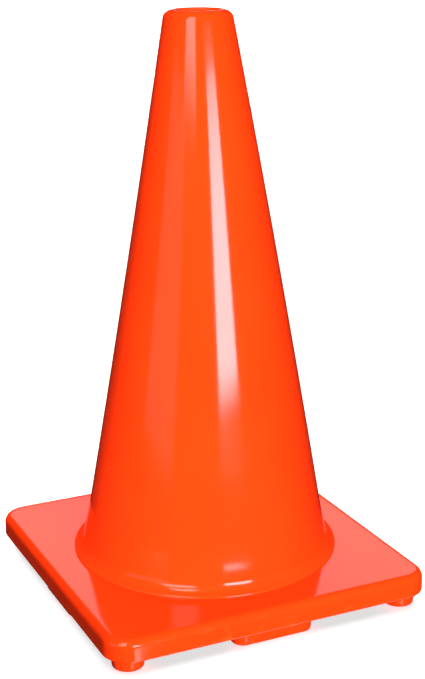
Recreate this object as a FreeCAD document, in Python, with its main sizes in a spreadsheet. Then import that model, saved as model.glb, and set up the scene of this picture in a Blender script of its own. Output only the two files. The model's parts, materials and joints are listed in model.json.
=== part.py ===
import FreeCAD, Part
import math
import os

import Sketcher

# A one-colour traffic cone of flexible moulded vinyl, in millimetres.
# +Z is up along the cone's axis and X and Y run square to the sides of the base. The origin is the
# centre of the plane that the feet stand on. The front is the -Y side and the right is the +X side.

SIZES = [
    ("overall_height", 457.2, "feet to crest of the rim, the 18 inch size"),
    ("base_width", 270.0, "side of the square base at its lower edge"),
    ("base_corner", 21.5, "plan radius of the base's corners"),
    ("side_draft", 1.0, "lean of the base's sides, degrees from upright"),
    ("deck_height", 28.5, "deck's top face above the ground"),
    ("deck_thickness", 3.5, "thickness of the deck"),
    ("deck_edge_round", 6.5, "radius of the deck's outer edge"),
    ("skirt_bottom", 11.1, "skirt's lower edge above the ground"),
    ("skirt_thickness", 4.0, "thickness of the skirt"),
    ("skirt_edge_round", 1.3, "radius of the skirt's lower outer edge"),
    ("deck_opening", 101.6, "radius of the deck's opening"),
    ("neck_radius", 101.4, "outside of the sleeve where it passes the deck"),
    ("lip_radius", 107.0, "outer radius of the lip that rests on the deck"),
    ("lip_rise", 1.4, "height of the lip's upper corner above the deck"),
    ("lip_round", 1.5, "radius of the lip's upper corner"),
    ("lip_slope_width", 6.4, "width of the slope from the lip up to the cove"),
    ("lip_slope_height", 3.7, "height of that slope"),
    ("cove_round", 12.0, "radius that blends the lip's slope into the flare"),
    ("flare_radius", 94.7, "outside of the wall where it starts to flare"),
    ("flare_height", 60.0, "height above the ground where it starts to flare"),
    ("shoulder_height", 452.5, "top of the straight wall above the ground"),
    ("shoulder_radius", 26.3, "outside of the wall at the shoulder"),
    ("rim_corner", 24.2, "radius where the rim's sloping side would meet its top"),
    ("rim_round", 7.4, "radius of the rim's outer edge"),
    ("mouth_radius", 16.5, "radius of the open mouth at the top"),
    ("mouth_length", 7.0, "height of the mouth's upright wall"),
    ("mouth_round", 1.5, "radius of the mouth's upper edge"),
    ("throat_drop", 4.0, "fall of the slope from the mouth to the wall"),
    ("throat_radius", 24.6, "inside of the wall where that slope meets it"),
    ("neck_thickness", 2.9, "thickness of the sleeve's wall at the neck"),
    ("flange_radius", 116.0, "outer radius of the anchor flange"),
    ("flange_thickness", 4.0, "thickness of the anchor flange"),
    ("lock_circle", 108.5, "radius of the circle of lock holes"),
    ("lock_hole", 4.0, "radius of a lock hole"),
    ("lock_peg", 3.8, "radius of a lock peg"),
    ("ballast_recess", 1.0, "height of the ballast above the skirt's lower edge"),
    ("ballast_gap", 0.2, "gap between the ballast and what surrounds it"),
    ("ballast_bevel", 1.0, "bevel round the ballast's lower edges"),
    ("foot_radius", 12.0, "radius of a corner foot at the ground"),
    ("foot_inset", 19.5, "corner foot's centre from each side of the base"),
    ("foot_draft", 6.0, "lean of every foot's sides, degrees from upright"),
    ("foot_edge_round", 1.5, "radius of every foot's lower edge"),
    ("side_foot_length", 66.0, "length of a side foot at the ground"),
    ("side_foot_width", 20.0, "width of a side foot at the ground"),
    ("side_foot_corner", 9.0, "plan radius of a side foot's corners"),
    ("side_foot_inset", 16.0, "side foot's centre line from the side of the base"),
    ("side_foot_plug_pitch", 36.0, "distance between a side foot's two plugs"),
    ("plug_radius", 5.0, "radius of the plug on a foot"),
    ("plug_height", 6.0, "height of the plug on a foot"),
    ("socket_gap", 0.2, "room round and above a plug in its socket"),
]
LOCK_COUNT = 8
FULL_TURN = 360.0  # degrees
QUARTER_TURN = math.pi / 2  # radians
OVERCUT = 5.0  # how far a cutting shape runs past the face it opens
NEAR = 0.01  # two lengths this close are the same
SMALLEST_CUT = 1.0  # a pocket that removes less, in cubic millimetres, has missed
MM3_PER_CM3 = 1000
UP = FreeCAD.Vector(0, 0, 1)

# The sketcher's own numbers for the points of a line or arc, and for the sketch's origin and axes.
START, END, CENTRE = 1, 2, 3
ORIGIN = (-1, START)
ACROSS_AXIS, UP_AXIS = -1, -2

# Left or right and front or back, as signs of X and Y.
CORNERS = {
    "front_left": (-1, -1),
    "front_right": (1, -1),
    "back_right": (1, 1),
    "back_left": (-1, 1),
}
# Turn about Z, in degrees, that brings the front side round to each side.
SIDES = {"front": 0, "right": 90, "back": 180, "left": 270}

doc = FreeCAD.newDocument("traffic_cone")


class Size:
    """A length or angle that knows its number and the sheet expression that gives it."""

    def __init__(self, number, text):
        self.number = number
        self.text = text

    def __add__(self, other):
        return Size(self.number + as_size(other).number, f"({self.text} + {as_size(other).text})")

    def __sub__(self, other):
        return Size(self.number - as_size(other).number, f"({self.text} - {as_size(other).text})")

    def __mul__(self, factor):
        return Size(self.number * factor, f"({self.text} * {factor})")

    def __neg__(self):
        return self * -1


def as_size(value):
    return value if isinstance(value, Size) else Size(value, str(value))


def make_sheet():
    """Put the driving dimensions in a sheet and return them as sizes, by name."""
    sheet = doc.addObject("Spreadsheet::Sheet", "sizes")
    by_name = {}
    for row, (alias, number, meaning) in enumerate(SIZES, start=1):
        sheet.set(f"A{row}", meaning)
        sheet.set(f"B{row}", str(number))
        sheet.setAlias(f"B{row}", alias)
        by_name[alias] = Size(number, f"sizes.{alias}")
    doc.recompute()
    return by_name


S = make_sheet()
GROUND = Size(0, "0")
DECK_UNDERSIDE = S["deck_height"] - S["deck_thickness"]
FLANGE_BOTTOM = DECK_UNDERSIDE - S["flange_thickness"]
BALLAST_BOTTOM = S["skirt_bottom"] + S["ballast_recess"]
SLEEVE_BORE = S["neck_radius"] - S["neck_thickness"]
HALF_BASE = S["base_width"] * 0.5


def make_body(label):
    body = doc.addObject("PartDesign::Body", label)
    body.Label = label
    return body


def sketch_on(body, role, name, height=None):
    """A sketch on one of the body's own origin planes, raised by height along that plane's normal."""
    sketch = body.newObject("Sketcher::SketchObject", name)
    origin_plane = next(item for item in body.Origin.OriginFeatures if item.Role == role)
    sketch.AttachmentSupport = [(origin_plane, "")]
    sketch.MapMode = "FlatFace"
    if height is not None:
        sketch.setExpression("AttachmentOffset.Base.z", height.text)
    return sketch


def dimension(sketch, kind, size, *where):
    """Add a dimension and bind it to the sheet."""
    index = sketch.addConstraint(Sketcher.Constraint(kind, *where, size.number))
    sketch.setExpression(f"Constraints[{index}]", size.text)


def place_point(sketch, geometry, vertex, across, up):
    """Dimension a point from the sketch's origin; a point on an axis is held there instead."""
    if across.number:
        dimension(sketch, "DistanceX", across, *ORIGIN, geometry, vertex)
    else:
        sketch.addConstraint(Sketcher.Constraint("PointOnObject", geometry, vertex, UP_AXIS))
    if up.number:
        dimension(sketch, "DistanceY", up, *ORIGIN, geometry, vertex)
    else:
        sketch.addConstraint(Sketcher.Constraint("PointOnObject", geometry, vertex, ACROSS_AXIS))


def draw_polygon(sketch, corners):
    """A closed outline of straight lines through corners, each an (across, up) pair of sizes."""
    corners = [(as_size(across), as_size(up)) for across, up in corners]
    points = [FreeCAD.Vector(across.number, up.number, 0) for across, up in corners]
    count = len(points)
    for i in range(count):
        sketch.addGeometry(Part.LineSegment(points[i], points[(i + 1) % count]), False)
    for i in range(count):
        sketch.addConstraint(Sketcher.Constraint("Coincident", i, END, (i + 1) % count, START))
    for i, (across, up) in enumerate(corners):
        place_point(sketch, i, START, across, up)


def draw_rectangle(sketch, width, depth):
    """A rectangle centred on the sketch's origin."""
    across, up = width * 0.5, depth * 0.5
    draw_polygon(sketch, [(-across, -up), (across, -up), (across, up), (-across, up)])


def draw_rounded_rectangle(sketch, width, depth, radius):
    """A rectangle centred on the sketch's origin, with round corners."""
    across, up, r = width.number / 2, depth.number / 2, radius.number
    # The sides run anticlockwise from the lower one, and each is followed by a corner's arc.
    sides = [
        ((-across + r, -up), (across - r, -up)),
        ((across, -up + r), (across, up - r)),
        ((across - r, up), (-across + r, up)),
        ((-across, up - r), (-across, -up + r)),
    ]
    centres = [(across - r, -up + r), (across - r, up - r), (-across + r, up - r), (-across + r, -up + r)]
    lines, arcs = [], []
    for i, ((start, end), centre) in enumerate(zip(sides, centres)):
        line = Part.LineSegment(FreeCAD.Vector(*start, 0), FreeCAD.Vector(*end, 0))
        lines.append(sketch.addGeometry(line, False))
        first_angle = (i - 1) * QUARTER_TURN
        circle = Part.Circle(FreeCAD.Vector(*centre, 0), UP, r)
        arc = Part.ArcOfCircle(circle, first_angle, first_angle + QUARTER_TURN)
        arcs.append(sketch.addGeometry(arc, False))
    for i, (line, arc) in enumerate(zip(lines, arcs)):
        following = lines[(i + 1) % len(lines)]
        sketch.addConstraint(Sketcher.Constraint("Tangent", line, END, arc, START))
        sketch.addConstraint(Sketcher.Constraint("Tangent", arc, END, following, START))
        sketch.addConstraint(Sketcher.Constraint("Vertical" if i % 2 else "Horizontal", line))
    for arc in arcs[1:]:
        sketch.addConstraint(Sketcher.Constraint("Equal", arcs[0], arc))
    dimension(sketch, "Radius", radius, arcs[0])
    lower, right, upper, left = lines
    dimension(sketch, "DistanceY", -depth * 0.5, *ORIGIN, lower, START)
    dimension(sketch, "DistanceX", width * 0.5, *ORIGIN, right, START)
    dimension(sketch, "DistanceY", depth * 0.5, *ORIGIN, upper, START)
    dimension(sketch, "DistanceX", -width * 0.5, *ORIGIN, left, START)


def draw_circle(sketch, radius, across=0, up=0):
    across, up = as_size(across), as_size(up)
    centre = FreeCAD.Vector(across.number, up.number, 0)
    circle = sketch.addGeometry(Part.Circle(centre, UP, radius.number), False)
    place_point(sketch, circle, CENTRE, across, up)
    dimension(sketch, "Radius", radius, circle)


def pad(body, sketch, height, name, draft=None):
    """Raise the sketch by a height; a positive draft, in degrees, widens it on the way up."""
    feature = body.newObject("PartDesign::Pad", name)
    feature.Profile = sketch
    feature.setExpression("Length", height.text)
    if draft is not None:
        feature.setExpression("TaperAngle", draft.text)
    doc.recompute()
    return feature


def pocket(body, sketch, name, depth=None, upwards=False):
    """Cut down from the sketch, or up, to a depth or right through; fail if nothing is cut."""
    before = body.Shape.Volume
    feature = body.newObject("PartDesign::Pocket", name)
    feature.Profile = sketch
    feature.Reversed = upwards
    if depth is None:
        feature.Type = "ThroughAll"
    else:
        feature.setExpression("Length", depth.text)
    doc.recompute()
    if body.Shape.Volume > before - SMALLEST_CUT:
        raise RuntimeError(f"{name} cuts nothing")
    return feature


def turn(body, sketch, kind, name):
    """Revolve a profile, drawn with up along Z, right round the body's upright axis."""
    feature = body.newObject(f"PartDesign::{kind}", name)
    feature.Profile = sketch
    feature.ReferenceAxis = (sketch, ["V_Axis"])
    feature.Angle = FULL_TURN
    doc.recompute()
    return feature


def repeat_round(body, feature, count, name):
    """Repeat a feature evenly round the body's upright axis."""
    pattern = body.newObject("PartDesign::PolarPattern", name)
    pattern.Originals = [feature]
    upright = next(item for item in body.Origin.OriginFeatures if item.Role == "Z_Axis")
    pattern.Axis = (upright, [""])
    pattern.Angle = FULL_TURN
    pattern.Occurrences = count
    body.Tip = pattern
    doc.recompute()
    return pattern


def round_edges(body, chosen, radius, name, kind="Fillet", measure="Radius"):
    """Fillet or chamfer every edge of the body's tip that the test chosen accepts."""
    base = body.Tip
    names = [f"Edge{i}" for i, edge in enumerate(base.Shape.Edges, start=1) if chosen(edge)]
    if not names:
        raise RuntimeError(f"{name} finds no edge")
    feature = body.newObject(f"PartDesign::{kind}", name)
    feature.Base = (base, names)
    feature.setExpression(measure, radius.text)
    doc.recompute()
    return feature


def ring_at(radius, height):
    """A test for the full circle of that radius and height about the Z axis."""
    def chosen(edge):
        curve = edge.Curve
        return (isinstance(curve, Part.Circle) and abs(curve.Radius - radius.number) < NEAR
                and abs(curve.Center.z - height.number) < NEAR
                and abs(curve.Center.x) < NEAR and abs(curve.Center.y) < NEAR)
    return chosen


def upright(edge):
    """A test for edges that run mostly up and down."""
    first, last = edge.Vertexes[0].Point, edge.Vertexes[-1].Point
    return abs(first.z - last.z) > max(abs(first.x - last.x), abs(first.y - last.y))


def level_at(height):
    """A test for edges that lie wholly at one height."""
    def chosen(edge):
        return all(abs(vertex.Z - height.number) < NEAR for vertex in edge.Vertexes)
    return chosen


def cone_sleeve():
    """Tapered tube with a rounded open rim, a flared lip on the deck and a flange under it."""
    body = make_body("cone_sleeve")
    lip_top = S["deck_height"] + S["lip_rise"]
    cove_radius = S["lip_radius"] - S["lip_slope_width"]
    cove_height = lip_top + S["lip_slope_height"]
    mouth_bottom = S["overall_height"] - S["mouth_length"]
    sketch = sketch_on(body, "XZ_Plane", "sleeve_section")
    draw_polygon(sketch, [
        (SLEEVE_BORE, FLANGE_BOTTOM),
        (S["flange_radius"], FLANGE_BOTTOM),
        (S["flange_radius"], DECK_UNDERSIDE),
        (S["neck_radius"], DECK_UNDERSIDE),
        (S["neck_radius"], S["deck_height"]),
        (S["lip_radius"], S["deck_height"]),
        (S["lip_radius"], lip_top),
        (cove_radius, cove_height),
        (S["flare_radius"], S["flare_height"]),
        (S["shoulder_radius"], S["shoulder_height"]),
        (S["rim_corner"], S["overall_height"]),
        (S["mouth_radius"], S["overall_height"]),
        (S["mouth_radius"], mouth_bottom),
        (S["throat_radius"], mouth_bottom - S["throat_drop"]),
    ])
    turn(body, sketch, "Revolution", "sleeve_wall")
    round_edges(body, ring_at(cove_radius, cove_height), S["cove_round"], "cove")
    round_edges(body, ring_at(S["lip_radius"], lip_top), S["lip_round"], "lip")
    round_edges(body, ring_at(S["rim_corner"], S["overall_height"]), S["rim_round"], "rim")
    round_edges(body, ring_at(S["mouth_radius"], S["overall_height"]), S["mouth_round"], "mouth")

    holes = sketch_on(body, "XY_Plane", "lock_hole_circle", DECK_UNDERSIDE)
    draw_circle(holes, S["lock_hole"], across=S["lock_circle"])
    hole = pocket(body, holes, "flange_lock_hole", S["flange_thickness"])
    repeat_round(body, hole, LOCK_COUNT, "flange_lock_holes")
    return body


def base_shell():
    """Square deck and skirt in one, hollow below, with a round opening for the sleeve."""
    body = make_body("base_shell")
    inside = S["base_width"] - S["skirt_thickness"] * 2
    block = sketch_on(body, "XY_Plane", "base_outline", S["skirt_bottom"])
    draw_rectangle(block, S["base_width"], S["base_width"])
    pad(body, block, S["deck_height"] - S["skirt_bottom"], "base_block", draft=-S["side_draft"])
    round_edges(body, upright, S["base_corner"], "base_corners")
    round_edges(body, level_at(S["deck_height"]), S["deck_edge_round"], "deck_edge")
    round_edges(body, level_at(S["skirt_bottom"]), S["skirt_edge_round"], "skirt_edge")

    hollow = sketch_on(body, "XY_Plane", "hollow_outline", DECK_UNDERSIDE)
    draw_rounded_rectangle(hollow, inside, inside, S["base_corner"] - S["skirt_thickness"])
    pocket(body, hollow, "hollow")

    opening = sketch_on(body, "XY_Plane", "opening_outline", S["deck_height"])
    draw_circle(opening, S["deck_opening"])
    pocket(body, opening, "deck_opening")
    return body


def ballast_ring():
    """Dense weight that fills the base, with a seat and lock pegs for the sleeve's flange."""
    body = make_body("ballast_ring")
    margin = S["skirt_thickness"] + S["ballast_gap"]
    width = S["base_width"] - margin * 2
    outline = sketch_on(body, "XY_Plane", "ballast_outline", BALLAST_BOTTOM)
    draw_rounded_rectangle(outline, width, width, S["base_corner"] - margin)
    pad(body, outline, DECK_UNDERSIDE - BALLAST_BOTTOM, "ballast_block")

    seat_radius = S["flange_radius"] + S["ballast_gap"]
    bore = sketch_on(body, "XZ_Plane", "bore_section")
    draw_polygon(bore, [
        (0, BALLAST_BOTTOM - OVERCUT),
        (SLEEVE_BORE, BALLAST_BOTTOM - OVERCUT),
        (SLEEVE_BORE, FLANGE_BOTTOM),
        (seat_radius, FLANGE_BOTTOM),
        (seat_radius, DECK_UNDERSIDE + OVERCUT),
        (0, DECK_UNDERSIDE + OVERCUT),
    ])
    turn(body, bore, "Groove", "bore_and_flange_seat")

    peg_circle = sketch_on(body, "XY_Plane", "lock_peg_circle", FLANGE_BOTTOM)
    draw_circle(peg_circle, S["lock_peg"], across=S["lock_circle"])
    peg = pad(body, peg_circle, S["flange_thickness"], "lock_peg")
    repeat_round(body, peg, LOCK_COUNT, "lock_pegs")

    sockets = sketch_on(body, "XY_Plane", "socket_circles", BALLAST_BOTTOM)
    for across, up in plug_places():
        draw_circle(sockets, S["plug_radius"] + S["socket_gap"], across, up)
    pocket(body, sockets, "plug_sockets", S["plug_height"] + S["socket_gap"], upwards=True)
    round_edges(body, level_at(BALLAST_BOTTOM), S["ballast_bevel"], "lower_bevel", "Chamfer", "Size")
    return body


def plug_places():
    """Where the feet's plugs enter the ballast: one for a corner foot, two for a side foot."""
    corner = HALF_BASE - S["foot_inset"]
    side = HALF_BASE - S["side_foot_inset"]
    half_pitch = S["side_foot_plug_pitch"] * 0.5
    places = [(corner * x, corner * y) for x, y in CORNERS.values()]
    for sign in (-1, 1):
        for end in (-1, 1):
            places.append((half_pitch * end, side * sign))
            places.append((side * sign, half_pitch * end))
    return places


def corner_foot(name, x_sign, y_sign):
    """Round foot with a plug that pushes up into the ballast."""
    body = make_body(f"corner_foot_{name}")
    disc = sketch_on(body, "XY_Plane", f"{body.Label}_outline")
    draw_circle(disc, S["foot_radius"])
    pad(body, disc, BALLAST_BOTTOM, f"{body.Label}_disc", S["foot_draft"])
    round_edges(body, level_at(GROUND), S["foot_edge_round"], f"{body.Label}_edge")
    plug = sketch_on(body, "XY_Plane", f"{body.Label}_plug_circle", BALLAST_BOTTOM)
    draw_circle(plug, S["plug_radius"])
    pad(body, plug, S["plug_height"], f"{body.Label}_plug")
    reach = HALF_BASE - S["foot_inset"]
    body.setExpression("Placement.Base.x", (reach * x_sign).text)
    body.setExpression("Placement.Base.y", (reach * y_sign).text)
    return body


def side_foot(name, turned):
    """Oblong foot under the middle of one side, with two plugs that push up into the ballast."""
    body = make_body(f"side_foot_{name}")
    block = sketch_on(body, "XY_Plane", f"{body.Label}_outline")
    draw_rounded_rectangle(block, S["side_foot_length"], S["side_foot_width"], S["side_foot_corner"])
    pad(body, block, BALLAST_BOTTOM, f"{body.Label}_block", S["foot_draft"])
    round_edges(body, level_at(GROUND), S["foot_edge_round"], f"{body.Label}_edge")
    plugs = sketch_on(body, "XY_Plane", f"{body.Label}_plug_circles", BALLAST_BOTTOM)
    for end in (-1, 1):
        draw_circle(plugs, S["plug_radius"], across=S["side_foot_plug_pitch"] * (0.5 * end))
    pad(body, plugs, S["plug_height"], f"{body.Label}_plugs")
    # The front side's outward direction is -Y; it swings round with the turn.
    reach = HALF_BASE - S["side_foot_inset"]
    outward_x, outward_y = math.sin(math.radians(turned)), -math.cos(math.radians(turned))
    body.Placement = FreeCAD.Placement(FreeCAD.Vector(), FreeCAD.Rotation(UP, turned))
    body.setExpression("Placement.Base.x", (reach * round(outward_x)).text)
    body.setExpression("Placement.Base.y", (reach * round(outward_y)).text)
    return body


def check_document():
    for item in doc.Objects:
        if "Invalid" in item.State or "Error" in item.State:
            raise RuntimeError(f"{item.Label} failed: {item.State}")
        if item.TypeId == "Sketcher::SketchObject" and item.solve() != 0:
            raise RuntimeError(f"{item.Label} doesn't solve")


def export(bodies):
    os.makedirs("parts", exist_ok=True)
    for body in bodies:
        shape = body.Shape
        if shape.isNull() or not shape.isValid() or len(shape.Solids) != 1:
            raise RuntimeError(f"{body.Label} isn't one valid solid")
        shape.exportStep(f"parts/{body.Label}.step")
        print(f"{body.Label}: {shape.Volume / MM3_PER_CM3:.1f} cm3")


bodies = [cone_sleeve(), base_shell(), ballast_ring()]
bodies += [corner_foot(name, *signs) for name, signs in CORNERS.items()]
bodies += [side_foot(name, turned) for name, turned in SIDES.items()]
doc.recompute()
check_document()
export(bodies)
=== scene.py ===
import json
import math

import bpy
from mathutils import Matrix, Vector


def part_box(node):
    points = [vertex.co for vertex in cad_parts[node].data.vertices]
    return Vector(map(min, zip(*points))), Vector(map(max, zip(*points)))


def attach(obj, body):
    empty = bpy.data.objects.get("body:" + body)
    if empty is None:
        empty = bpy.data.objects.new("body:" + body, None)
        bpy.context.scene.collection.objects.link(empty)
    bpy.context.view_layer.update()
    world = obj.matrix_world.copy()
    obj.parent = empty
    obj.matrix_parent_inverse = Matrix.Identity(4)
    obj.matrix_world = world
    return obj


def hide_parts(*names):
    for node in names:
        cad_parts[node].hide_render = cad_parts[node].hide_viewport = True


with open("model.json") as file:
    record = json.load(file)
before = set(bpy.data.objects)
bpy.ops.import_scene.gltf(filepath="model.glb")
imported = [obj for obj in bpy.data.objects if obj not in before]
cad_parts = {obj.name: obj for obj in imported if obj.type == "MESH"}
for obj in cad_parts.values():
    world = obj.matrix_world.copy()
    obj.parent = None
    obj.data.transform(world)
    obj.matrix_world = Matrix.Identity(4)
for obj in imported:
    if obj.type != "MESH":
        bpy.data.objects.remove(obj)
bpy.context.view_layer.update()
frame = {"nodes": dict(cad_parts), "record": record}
MM = 0.001

# ---------------------------------------------------------------------------------------------
# Sizes, in metres. Heights and widths come from the frame; the rest are the part's own radii.
# ---------------------------------------------------------------------------------------------
sleeve_low, sleeve_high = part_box("cone_sleeve")
shell_low, shell_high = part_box("base_shell")
ballast_low, ballast_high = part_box("ballast_ring")
mouth = next(m for m in frame["record"]["mounts"] if m["name"] == "top_mouth")

HEIGHT = sleeve_high.z
FLANGE_RADIUS = sleeve_high.x
FLANGE_BOTTOM = sleeve_low.z
FLANGE_TOP = ballast_high.z
DECK_HEIGHT = shell_high.z
SKIRT_BOTTOM = shell_low.z
HALF_BASE = shell_high.x
BALLAST_BOTTOM = ballast_low.z
MOUTH_RADIUS = mouth["dims"]["r_mm"] * MM

SIDE_DRAFT = math.radians(1)
BASE_CORNER = 21.5 * MM
DECK_EDGE_ROUND = 6.5 * MM
SKIRT_EDGE_ROUND = 1.3 * MM
SKIRT_THICKNESS = 4.0 * MM
DECK_OPENING = 101.6 * MM
NECK_RADIUS = 101.4 * MM
NECK_THICKNESS = 2.9 * MM
LIP_RADIUS = 107.0 * MM
LIP_RISE = 1.4 * MM
LIP_ROUND = 1.5 * MM
LIP_SLOPE_WIDTH = 6.4 * MM
LIP_SLOPE_HEIGHT = 3.7 * MM
COVE_ROUND = 12.0 * MM
FLARE_RADIUS = 94.7 * MM
FLARE_HEIGHT = 60.0 * MM
SHOULDER_HEIGHT = 452.5 * MM
SHOULDER_RADIUS = 26.3 * MM
RIM_CORNER = 24.2 * MM
RIM_ROUND = 7.4 * MM
MOUTH_LENGTH = 7.0 * MM
MOUTH_ROUND = 1.5 * MM
THROAT_DROP = 4.0 * MM
THROAT_RADIUS = 24.6 * MM
SIDE_FOOT_CORNER = 9.0 * MM
FOOT_DRAFT = math.radians(6)
FOOT_EDGE_ROUND = 1.5 * MM

SWAY = 4.3 * MM  # how far the soft sleeve bows sideways
SWAY_TURN = 0.74  # share of its height where the bow crosses the axis
SWELL = 0.38 * MM  # how far the wall swells on one side, above the lip
SWELL_HEIGHT = 43.0 * MM
SWELL_REACH = 12.0 * MM
SWELL_AZIMUTH = math.radians(14)  # to the right of the camera
SWELL_SPREAD = math.radians(26)

TURN_STEP = math.radians(5)  # largest turn between neighbouring points of a rounded corner


# ---------------------------------------------------------------------------------------------
# Camera
# ---------------------------------------------------------------------------------------------
CAMERA_AZIMUTH = math.radians(-24.57)
CAMERA_ELEVATION = math.radians(16.09)
CAMERA_DISTANCE = 1.1647
CAMERA_PAN = math.radians(0.37)
CAMERA_TILT = math.radians(-1.29)
CAMERA_ROLL = math.radians(-0.51)
SENSOR = 36.0
LENS = 1481.8 / 679 * SENSOR


def towards(azimuth, elevation=0.0):
    """Unit vector from the object towards a place; azimuth 0 is the front (-Y), growing to the right."""
    return Vector((
        math.sin(azimuth) * math.cos(elevation),
        -math.cos(azimuth) * math.cos(elevation),
        math.sin(elevation),
    ))


def make_camera():
    back = towards(CAMERA_AZIMUTH, CAMERA_ELEVATION)
    forward = -back
    right = forward.cross(Vector((0, 0, 1))).normalized()
    up = right.cross(forward)
    aim = Matrix((right, up, back)).transposed()
    aim = aim @ Matrix.Rotation(-CAMERA_PAN, 3, "Y")
    aim = aim @ Matrix.Rotation(CAMERA_TILT, 3, "X")
    aim = aim @ Matrix.Rotation(CAMERA_ROLL, 3, "Z")
    data = bpy.data.cameras.new("camera")
    data.lens = LENS
    data.sensor_width = SENSOR
    data.clip_end = 100
    camera = bpy.data.objects.new("camera", data)
    camera.matrix_world = Matrix.Translation(
        Vector((0, 0, HEIGHT / 2)) + back * CAMERA_DISTANCE) @ aim.to_4x4()
    bpy.context.scene.collection.objects.link(camera)
    bpy.context.scene.camera = camera


# ---------------------------------------------------------------------------------------------
# Mesh helpers
# ---------------------------------------------------------------------------------------------
def round_corner(before, corner, after, radius):
    """Points of the arc that rounds a corner of an outline."""
    into, out = (corner - before).normalized(), (after - corner).normalized()
    turn = math.acos(max(-1.0, min(1.0, into.dot(out))))
    reach = radius * math.tan(turn / 2)
    start, end = corner - into * reach, corner + out * reach
    middle = (out - into).normalized()
    centre = corner + middle * (radius / math.cos(turn / 2))
    steps = max(2, math.ceil(turn / TURN_STEP))
    first = start - centre
    side = 1 if into.x * out.y - into.y * out.x > 0 else -1
    points = []
    for i in range(steps + 1):
        angle = side * turn * i / steps
        c, s = math.cos(angle), math.sin(angle)
        points.append(centre + Vector((first.x * c - first.y * s, first.x * s + first.y * c)))
    points[-1] = end
    return points


def rounded_outline(corners, longest):
    """Closed outline from (across, up, radius) corners, with no step over the longest length."""
    points = []
    places = [Vector(corner[:2]) for corner in corners]
    count = len(corners)
    for i, (place, corner) in enumerate(zip(places, corners)):
        if corner[2]:
            points += round_corner(places[i - 1], place, places[(i + 1) % count], corner[2])
        else:
            points.append(place)
    filled = []
    for i, point in enumerate(points):
        after = points[(i + 1) % len(points)]
        pieces = max(1, math.ceil((after - point).length / longest))
        filled += [point.lerp(after, k / pieces) for k in range(pieces)]
    return filled


def mesh_object(name, vertices, faces, sharp_angle=math.radians(40)):
    mesh = bpy.data.meshes.new(name)
    mesh.from_pydata(vertices, [], faces)
    mesh.validate()
    mesh.shade_smooth()
    mesh.set_sharp_from_angle(angle=sharp_angle)
    piece = bpy.data.objects.new(name, mesh)
    bpy.context.scene.collection.objects.link(piece)
    return piece


def loft(name, rings, closed):
    """Skin over rings of equal count; closed joins the last ring to the first, else the ends are capped."""
    count = len(rings[0])
    vertices = [point for ring in rings for point in ring]
    faces = []
    last = len(rings) if closed else len(rings) - 1
    for r in range(last):
        low, high = r * count, (r + 1) % len(rings) * count
        for i in range(count):
            j = (i + 1) % count
            faces.append((low + i, low + j, high + j, high + i))
    if not closed:
        faces.append(tuple(reversed(range(count))))
        faces.append(tuple(range((len(rings) - 1) * count, len(rings) * count)))
    return mesh_object(name, vertices, faces)


def circle_ring(radius, height, count, centre=(0, 0)):
    return [
        (centre[0] + radius * math.cos(2 * math.pi * i / count),
         centre[1] + radius * math.sin(2 * math.pi * i / count), height)
        for i in range(count)
    ]


def rounded_ring(half_x, half_y, corner, height, per_corner, per_side, centre=(0, 0)):
    """Rounded rectangle as a ring that starts at the middle of the +X side and runs anticlockwise."""
    corner = max(corner, 0.05 * MM)
    flats = [
        ((half_x, -half_y + corner), (half_x, half_y - corner), (half_x - corner, half_y - corner)),
        ((half_x - corner, half_y), (-half_x + corner, half_y), (-half_x + corner, half_y - corner)),
        ((-half_x, half_y - corner), (-half_x, -half_y + corner), (-half_x + corner, -half_y + corner)),
        ((-half_x + corner, -half_y), (half_x - corner, -half_y), (half_x - corner, -half_y + corner)),
    ]
    points = []
    for side, (start, end, middle) in enumerate(flats):
        start, end = Vector(start), Vector(end)
        points += [start.lerp(end, k / per_side) for k in range(per_side)]
        first = side * math.pi / 2
        for k in range(per_corner):
            angle = first + math.pi / 2 * k / per_corner
            points.append(Vector(middle) + corner * Vector((math.cos(angle), math.sin(angle))))
    points = points[per_side // 2:] + points[:per_side // 2]
    return [(centre[0] + point.x, centre[1] + point.y, height) for point in points]


# ---------------------------------------------------------------------------------------------
# Pieces
# ---------------------------------------------------------------------------------------------
def sway(ring):
    """Ring of the sleeve, moved sideways as the soft tube leans: a little to one side, then back."""
    height = (ring[0][2] - DECK_HEIGHT) / (HEIGHT - DECK_HEIGHT)
    if height <= 0:
        return ring
    side = towards(CAMERA_AZIMUTH + math.radians(90)) * SWAY * height * (1 - height / SWAY_TURN)
    return [Vector(point) + side for point in ring]


def fade(distance, reach):
    """1 where the distance is nothing, and falling softly to 0 at the reach."""
    return (1 + math.cos(math.pi * min(1.0, abs(distance) / reach))) / 2


def swell(ring):
    """Ring of the sleeve with the slight swelling that its wall has on one side."""
    size = SWELL * fade(ring[0][2] - SWELL_HEIGHT, SWELL_REACH)
    middle = towards(CAMERA_AZIMUTH + SWELL_AZIMUTH)
    moved = []
    for x, y, z in ring:
        outwards = Vector((x, y, 0)).normalized()
        moved.append(Vector((x, y, z)) + outwards * size * fade(middle.angle(outwards), SWELL_SPREAD))
    return moved


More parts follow.
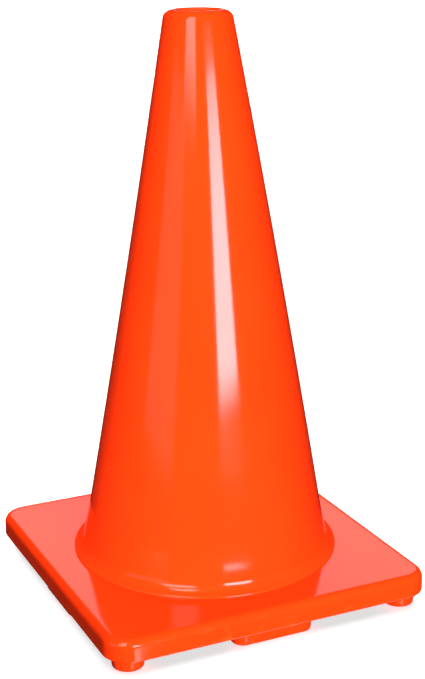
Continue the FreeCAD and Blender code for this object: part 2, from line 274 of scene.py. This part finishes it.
def cone_sleeve():
    """Tapered tube, with the rounded open rim, the flared lip on the deck and the flange below."""
    lip_top = DECK_HEIGHT + LIP_RISE
    mouth_bottom = HEIGHT - MOUTH_LENGTH
    cove = Vector((LIP_RADIUS - LIP_SLOPE_WIDTH, lip_top + LIP_SLOPE_HEIGHT))
    flare_top = Vector((FLARE_RADIUS, FLARE_HEIGHT))
    flare_shares = [0.25 + 0.05 * step for step in range(16)]
    section = [
        (NECK_RADIUS - NECK_THICKNESS, FLANGE_BOTTOM, 0),
        (FLANGE_RADIUS, FLANGE_BOTTOM, 0),
        (FLANGE_RADIUS, FLANGE_TOP, 0),
        (NECK_RADIUS, FLANGE_TOP, 0),
        (NECK_RADIUS, DECK_HEIGHT, 0),
        (LIP_RADIUS, DECK_HEIGHT, 0.25 * MM),
        (LIP_RADIUS, lip_top, LIP_ROUND),
        (*cove, COVE_ROUND),
        *((*cove.lerp(flare_top, share), 0) for share in flare_shares),
        (SHOULDER_RADIUS, SHOULDER_HEIGHT, 0.6 * MM),
        (RIM_CORNER, HEIGHT, RIM_ROUND),
        (MOUTH_RADIUS, HEIGHT, MOUTH_ROUND),
        (MOUTH_RADIUS, mouth_bottom, 0.5 * MM),
        (THROAT_RADIUS, mouth_bottom - THROAT_DROP, 3.0 * MM),
    ]
    outline = rounded_outline(section, longest=6 * MM)
    rings = [sway(swell(circle_ring(point.x, point.y, count=288))) for point in outline]
    piece = loft("sleeve", rings, closed=True)
    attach(piece, "root")
    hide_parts("cone_sleeve")
    return piece


def base_shell():
    """Square deck and skirt, hollow below, round opening in the middle."""
    per_corner, per_side = 24, 40
    count = 4 * (per_corner + per_side)
    deck_inset = (DECK_HEIGHT - SKIRT_BOTTOM) * math.tan(SIDE_DRAFT)
    inside = SKIRT_THICKNESS
    # Distance in from the side, and height, of the section through the rim of the base.
    section = [
        (0, SKIRT_BOTTOM, SKIRT_EDGE_ROUND),
        (deck_inset, DECK_HEIGHT, DECK_EDGE_ROUND),
        (deck_inset + 20 * MM, DECK_HEIGHT, 0),
        (deck_inset + 20 * MM, FLANGE_TOP, 0),
        (inside, FLANGE_TOP, 1.5 * MM),
        (inside, SKIRT_BOTTOM, 0.4 * MM),
    ]
    outline = rounded_outline(section, longest=4 * MM)
    top = max(i for i, p in enumerate(outline) if abs(p.y - DECK_HEIGHT) < 1e-6)
    under = min(i for i, p in enumerate(outline) if i > top and abs(p.y - FLANGE_TOP) < 1e-6)

    def ring(point):
        half = HALF_BASE - point.x
        return rounded_ring(half, half, BASE_CORNER - point.x, point.y, per_corner, per_side)

    def blend(outer, height, steps):
        """Rings that pass from a rounded square in to the round opening."""
        opening = circle_ring(DECK_OPENING, height, count)
        rings = []
        for k in range(1, steps):
            share = k / steps
            rings.append([Vector(a).lerp(Vector(b), share) for a, b in zip(outer, opening)])
        return rings, opening

    outer_top = ring(outline[top])
    outer_under = ring(outline[under])
    rings = [ring(p) for p in outline[:top + 1]]
    inwards, opening_top = blend(outer_top, DECK_HEIGHT, 8)
    outwards, opening_under = blend(outer_under, FLANGE_TOP, 8)
    rings += inwards + [opening_top, opening_under] + outwards[::-1]
    rings += [ring(p) for p in outline[under:]]
    rings = [[tuple(point) for point in r] for r in rings]
    piece = loft("base", rings, closed=True)
    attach(piece, "root")
    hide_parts("base_shell")
    return piece


def foot(node):
    """Round or oblong foot that widens upwards, with its lower edge rounded and its top in the ballast."""
    low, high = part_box(node)
    centre = ((low.x + high.x) / 2, (low.y + high.y) / 2)
    half_x, half_y = (high.x - low.x) / 2, (high.y - low.y) / 2
    growth = BALLAST_BOTTOM * math.tan(FOOT_DRAFT)
    round_foot = abs(half_x - half_y) < MM
    corner = half_x if round_foot else SIDE_FOOT_CORNER + growth
    steps = 6
    # Distance in from the widest outline, at the top of the foot, and height.
    levels = [(growth + 6 * MM, 0)]
    for k in range(steps + 1):
        angle = math.pi / 2 * k / steps
        height = FOOT_EDGE_ROUND * (1 - math.cos(angle))
        levels.append((growth + FOOT_EDGE_ROUND * (1 - math.sin(angle)), height))
    levels += [(growth * (1 - height / BALLAST_BOTTOM), height) for height in (BALLAST_BOTTOM / 2, BALLAST_BOTTOM)]
    rings = [
        rounded_ring(half_x - inset, half_y - inset, corner - inset, height, 16, 12, centre)
        for inset, height in levels
    ]
    piece = loft(node.replace("foot", "pad"), rings, closed=False)
    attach(piece, "root")
    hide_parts(node)
    return piece


# ---------------------------------------------------------------------------------------------
# Materials
# ---------------------------------------------------------------------------------------------
def noise(tree, place, scale, detail=2.0, stretch=(1, 1, 1)):
    """Noise in the object's own coordinates; scale is in features per metre."""
    mapping = tree.nodes.new("ShaderNodeMapping")
    mapping.inputs["Scale"].default_value = stretch
    texture = tree.nodes.new("ShaderNodeTexNoise")
    texture.inputs["Scale"].default_value = scale
    texture.inputs["Detail"].default_value = detail
    tree.links.new(place, mapping.inputs["Vector"])
    tree.links.new(mapping.outputs["Vector"], texture.inputs["Vector"])
    return texture.outputs["Fac"]


def spread(tree, value, low, high, to_low, to_high):
    """The value with its range low to high stretched or squeezed to another range, and clamped."""
    node = tree.nodes.new("ShaderNodeMapRange")
    for name, number in zip(("From Min", "From Max", "To Min", "To Max"), (low, high, to_low, to_high)):
        node.inputs[name].default_value = number
    tree.links.new(value, node.inputs["Value"])
    return node.outputs["Result"]


def combine(tree, operation, first, second):
    node = tree.nodes.new("ShaderNodeMath")
    node.operation = operation
    tree.links.new(first, node.inputs[0])
    tree.links.new(second, node.inputs[1])
    return node.outputs["Value"]


def tint(tree, share, from_colour, to_colour):
    """Colour between two colours; from_colour is a colour or another node's output."""
    node = tree.nodes.new("ShaderNodeMix")
    node.data_type = "RGBA"
    tree.links.new(share, node.inputs["Factor"])
    before, after = node.inputs[6], node.inputs[7]
    if isinstance(from_colour, tuple):
        before.default_value = (*from_colour, 1)
    else:
        tree.links.new(from_colour, before)
    after.default_value = (*to_colour, 1)
    return node.outputs[2]


def bump(tree, height, depth, below=None):
    node = tree.nodes.new("ShaderNodeBump")
    node.inputs["Strength"].default_value = 1.0
    node.inputs["Distance"].default_value = depth
    tree.links.new(height, node.inputs["Height"])
    if below:
        tree.links.new(below, node.inputs["Normal"])
    return node.outputs["Normal"]


def vinyl(name, colour, gloss, wear_height, wear, ripple=0.00003, grain=0.000004):
    """Moulded vinyl: cloudy pigment, uneven gloss, fine grain, and scuffs that thin out by wear_height.

    gloss is the roughness where the skin is shiniest and dullest. ripple and grain are the depths of
    the slow waves of the moulded skin and of its fine texture.
    """
    material = bpy.data.materials.new(name)
    material.use_nodes = True
    tree = material.node_tree
    shader = tree.nodes["Principled BSDF"]
    place = tree.nodes.new("ShaderNodeTexCoord").outputs["Object"]
    split = tree.nodes.new("ShaderNodeSeparateXYZ")
    tree.links.new(place, split.inputs[0])

    cloud = spread(tree, noise(tree, place, 14, 3), 0.35, 0.65, 0, 1)
    speck = spread(tree, noise(tree, place, 420, 2), 0.68, 0.78, 0, 1)
    low_down = spread(tree, split.outputs["Z"], 0, wear_height, 1, 0)
    scratches = spread(tree, noise(tree, place, 60, 4, (1, 1, 9)), 0.62, 0.74, 0, wear)
    scuffs = spread(tree, noise(tree, place, 130, 5), 0.60, 0.72, 0, wear)
    worn = combine(tree, "MULTIPLY", combine(tree, "MAXIMUM", scratches, scuffs), low_down)

    deep = tuple(channel * 0.93 for channel in colour)
    dusty = (colour[0] * 0.92, colour[1] * 2.2 + 0.01, colour[2] * 3 + 0.01)
    dark = tuple(channel * 0.8 for channel in colour)
    tone = tint(tree, cloud, deep, colour)
    tone = tint(tree, spread(tree, speck, 0, 1, 0, 0.5), tone, dark)
    tone = tint(tree, worn, tone, dusty)
    tree.links.new(tone, shader.inputs["Base Color"])

    sheen = spread(tree, noise(tree, place, 32, 4), 0.3, 0.7, *gloss)
    dulled = spread(tree, worn, 0, 1, 0, 0.3)
    tree.links.new(combine(tree, "ADD", sheen, dulled), shader.inputs["Roughness"])

    waves = bump(tree, noise(tree, place, 26, 1), ripple)
    skin = bump(tree, noise(tree, place, 1100, 2), grain, waves)
    marks = bump(tree, worn, -0.00003, skin)
    tree.links.new(marks, shader.inputs["Normal"])
    shader.inputs["IOR"].default_value = 1.5
    return material


def dress(piece, material):
    piece.data.materials.clear()
    piece.data.materials.append(material)


# ---------------------------------------------------------------------------------------------
# Studio. Azimuths are measured from the camera's, and grow to its right. The floor and the air
# around it are lit to a plain near-white, and neither shines on the object or shows in its gloss.
# ---------------------------------------------------------------------------------------------
def make_floor(radius):
    edge = circle_ring(radius, 0, 96)
    floor = mesh_object("floor", edge, [tuple(range(len(edge)))])
    material = bpy.data.materials.new("floor_paint")
    material.use_nodes = True
    shader = material.node_tree.nodes["Principled BSDF"]
    shader.inputs["Base Color"].default_value = (0.8, 0.8, 0.8, 1)
    shader.inputs["Roughness"].default_value = 0.9
    shader.inputs["Emission Color"].default_value = (1, 1, 1, 1)
    shader.inputs["Emission Strength"].default_value = 0.72
    dress(floor, material)
    floor.visible_glossy = False
    floor.visible_diffuse = False


def make_world():
    """Pale air behind the object, which the object sees as a dim grey room."""
    world = bpy.data.worlds.new("studio")
    bpy.context.scene.world = world
    world.use_nodes = True
    nodes, links = world.node_tree.nodes, world.node_tree.links
    room = nodes["Background"]
    room.inputs["Color"].default_value = (0.014, 0.014, 0.014, 1)
    air = nodes.new("ShaderNodeBackground")
    air.inputs["Color"].default_value = (1.0, 1.0, 1.0, 1)
    path = nodes.new("ShaderNodeLightPath")
    mix = nodes.new("ShaderNodeMixShader")
    links.new(path.outputs["Is Camera Ray"], mix.inputs["Fac"])
    links.new(room.outputs[0], mix.inputs[1])
    links.new(air.outputs[0], mix.inputs[2])
    links.new(mix.outputs[0], nodes["World Output"].inputs["Surface"])


def light_only(light, pieces):
    """Keep a light to some pieces."""
    lit = bpy.data.collections.new(light.name + "_pieces")
    for piece in pieces:
        lit.objects.link(piece)
    light.light_linking.receiver_collection = lit


def soft_box(name, azimuth, bottom, top, distance, width, radiance, pieces=(), colour=(1, 1, 1)):
    """Upright soft box that only shows in the gloss; width is the angle that it covers, in degrees."""
    data = bpy.data.lights.new(name, "AREA")
    data.shape = "RECTANGLE"
    data.size = 2 * distance * math.tan(math.radians(width / 2))
    data.size_y = top - bottom
    data.energy = radiance * math.pi * data.size * data.size_y
    data.color = colour
    facing = towards(CAMERA_AZIMUTH + math.radians(azimuth))
    light = bpy.data.objects.new(name, data)
    light.location = facing * distance + Vector((0, 0, (bottom + top) / 2))
    light.rotation_euler = (-facing).to_track_quat("-Z", "Y").to_euler()
    light.visible_camera = False
    light.visible_diffuse = False
    bpy.context.scene.collection.objects.link(light)
    if pieces:
        light_only(light, pieces)


def graded_box(name, azimuth, width, levels, pieces=(), colour=(1, 1, 1)):
    """Soft box whose light changes with height; levels are (height, radiance from there up)."""
    for step, ((bottom, radiance), (top, _)) in enumerate(zip(levels, levels[1:])):
        soft_box(f"{name}_{step}", azimuth, bottom, top, BOX_DISTANCE, width, radiance, pieces, colour)


def fade_in(bottom, top, radiance, steps=6):
    """Levels of a box whose light grows evenly from almost nothing at the bottom to its full."""
    rise = (top - bottom) / steps
    return [(bottom + rise * k, radiance * (k + 0.5) / steps) for k in range(steps)] + [(top, radiance)]


def wide_light(name, azimuth, elevation, strength, angle, pieces=()):
    """Large far light that lights the colour of the pieces, or of everything, but not their gloss."""
    data = bpy.data.lights.new(name, "SUN")
    data.energy = strength * math.pi
    data.angle = math.radians(angle)
    data.cycles.use_multiple_importance_sampling = False
    light = bpy.data.objects.new(name, data)
    source = towards(CAMERA_AZIMUTH + math.radians(azimuth), math.radians(elevation))
    light.rotation_euler = (-source).to_track_quat("-Z", "Y").to_euler()
    light.visible_glossy = False
    bpy.context.scene.collection.objects.link(light)
    if pieces:
        light_only(light, pieces)


BOX_DISTANCE = 2.0
STRIP_LEVELS = [(0.17, 14.2), (0.58, 13), (0.66, 11.5), (0.74, 9.5), (0.85, 0)]
COOL = (1, 1, 1.12)

make_camera()
make_floor(radius=14)
make_world()

sleeve = cone_sleeve()
base = base_shell()
feet = [foot(name) for name in sorted(frame["nodes"]) if "foot" in name]
ballast = frame["nodes"]["ballast_ring"]

graded_box("strip_sleeve", 28.4, 23.8, STRIP_LEVELS, [sleeve], COOL)
graded_box("strip_base", 26.5, 20, STRIP_LEVELS, [base, ballast, *feet], COOL)
graded_box("band_high", -24, 29, fade_in(0.72, 0.90, 5.3) + [(1.6, 0)])
soft_box("band_top", -24, 2.3, 3.4, 2.0, 29, 7)
soft_box("panel_low", 30, -1.9, -0.7, 2.0, 20, 4.0, [base, *feet])
soft_box("panel_floor", 45, -4.5, -2.0, 2.0, 70, 6.0, [base])
soft_box("band_left", -52, 0.0, 0.745, 2.0, 38, 0.58)
soft_box("panel_back", 180, 1.20, 2.05, 3.0, 50, 1.2, [base])
soft_box("strip_back", 180, 0.05, 0.55, 2.5, 14, 9)
wide_light("key_sleeve", 6, 15, 2.82, 45, [sleeve])
wide_light("key_base", 20, 15, 2.5, 35, [base, ballast, *feet])
wide_light("overhead", 0, 88, 0.75, 70)
wide_light("key_back", 188, 8, 1.8, 35)
wide_light("fill_back", -160, 10, 0.8, 40)

ORANGE = (1.0, 0.037, 0.0028)
dress(sleeve, vinyl("sleeve_orange", ORANGE, (0.09, 0.13), 0.15, 0.12))
dress(base, vinyl("base_orange", ORANGE, (0.09, 0.14), 0.03, 0.5))
foot_orange = vinyl("foot_orange", ORANGE, (0.16, 0.24), 0.012, 1.0)
for pad in feet:
    dress(pad, foot_orange)
DULL_ORANGE = (0.6, 0.03, 0.005)
dress(ballast, vinyl("ballast_orange", DULL_ORANGE, (0.5, 0.65), 0.05, 1.0))

bpy.context.scene.view_settings.view_transform = "Standard"
